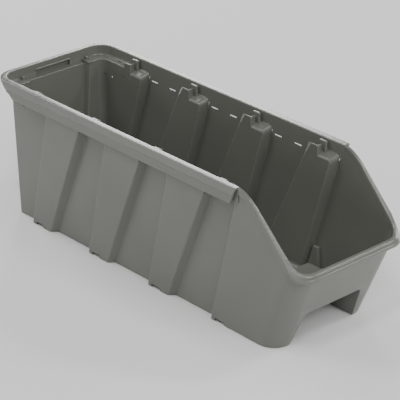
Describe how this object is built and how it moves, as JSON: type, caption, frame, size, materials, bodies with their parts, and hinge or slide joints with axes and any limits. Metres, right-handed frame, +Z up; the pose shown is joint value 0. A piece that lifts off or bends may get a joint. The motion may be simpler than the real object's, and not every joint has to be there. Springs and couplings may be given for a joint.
{
  "type": "stackable storage bin",
  "caption": "Long narrow open-front plastic storage bin with fluted leaning side walls, sloped front rim, stacking seats and lugs, and hollow side rails.",
  "frame": {"origin": "centre of the footprint on the plane the bin stands on", "axes": "+Z up, +Y towards the closed rear, -Y towards the low open front, +X to the right seen from the front"},
  "size_m": [0.2, 0.6, 0.21],
  "materials": {
    "shell": "satin moulded grey polypropylene with fine flow texture",
    "base": "satin moulded grey polypropylene, a little scuffed",
    "rim": "smoother satin moulded grey polypropylene on handled edges"
  },
  "bodies": {
    "root": {"floor_plate": "base", "arch_tunnel": "base", "front_wall": "shell", "rear_panel": "shell", "rear_collar": "shell", "rear_rim": "rim", "rear_ledge": "shell", "rear_grip_lip": "shell", "front_rim": "rim", "left_front_leg": "shell", "left_rear_corner": "shell", "left_corner_ledge": "shell", "left_collar": "shell", "left_stacking_rail": "rim", "left_slope_rim": "rim", "left_base_pad": "base", "left_rear_lug": "rim", "left_panel_1": "shell", "left_seat_0": "rim", "left_lug_0": "rim", "left_panel_2": "shell", "left_rib_1": "shell", "left_seat_1": "rim", "left_lug_1": "rim", "left_panel_3": "shell", "left_rib_2": "shell", "left_seat_2": "rim", "left_lug_2": "rim", "left_panel_4": "shell", "left_rib_3": "shell", "left_seat_3": "rim", "left_lug_3": "rim", "right_front_leg": "shell", "right_rear_corner": "shell", "right_corner_ledge": "shell", "right_collar": "shell", "right_stacking_rail": "rim", "right_slope_rim": "rim", "right_base_pad": "base", "right_rear_lug": "rim", "right_panel_1": "shell", "right_seat_0": "rim", "right_lug_0": "rim", "right_panel_2": "shell", "right_rib_1": "shell", "right_seat_1": "rim", "right_lug_1": "rim", "right_panel_3": "shell", "right_rib_2": "shell", "right_seat_2": "rim", "right_lug_2": "rim", "right_panel_4": "shell", "right_rib_3": "shell", "right_seat_3": "rim", "right_lug_3": "rim"}
  },
  "joints": []
}
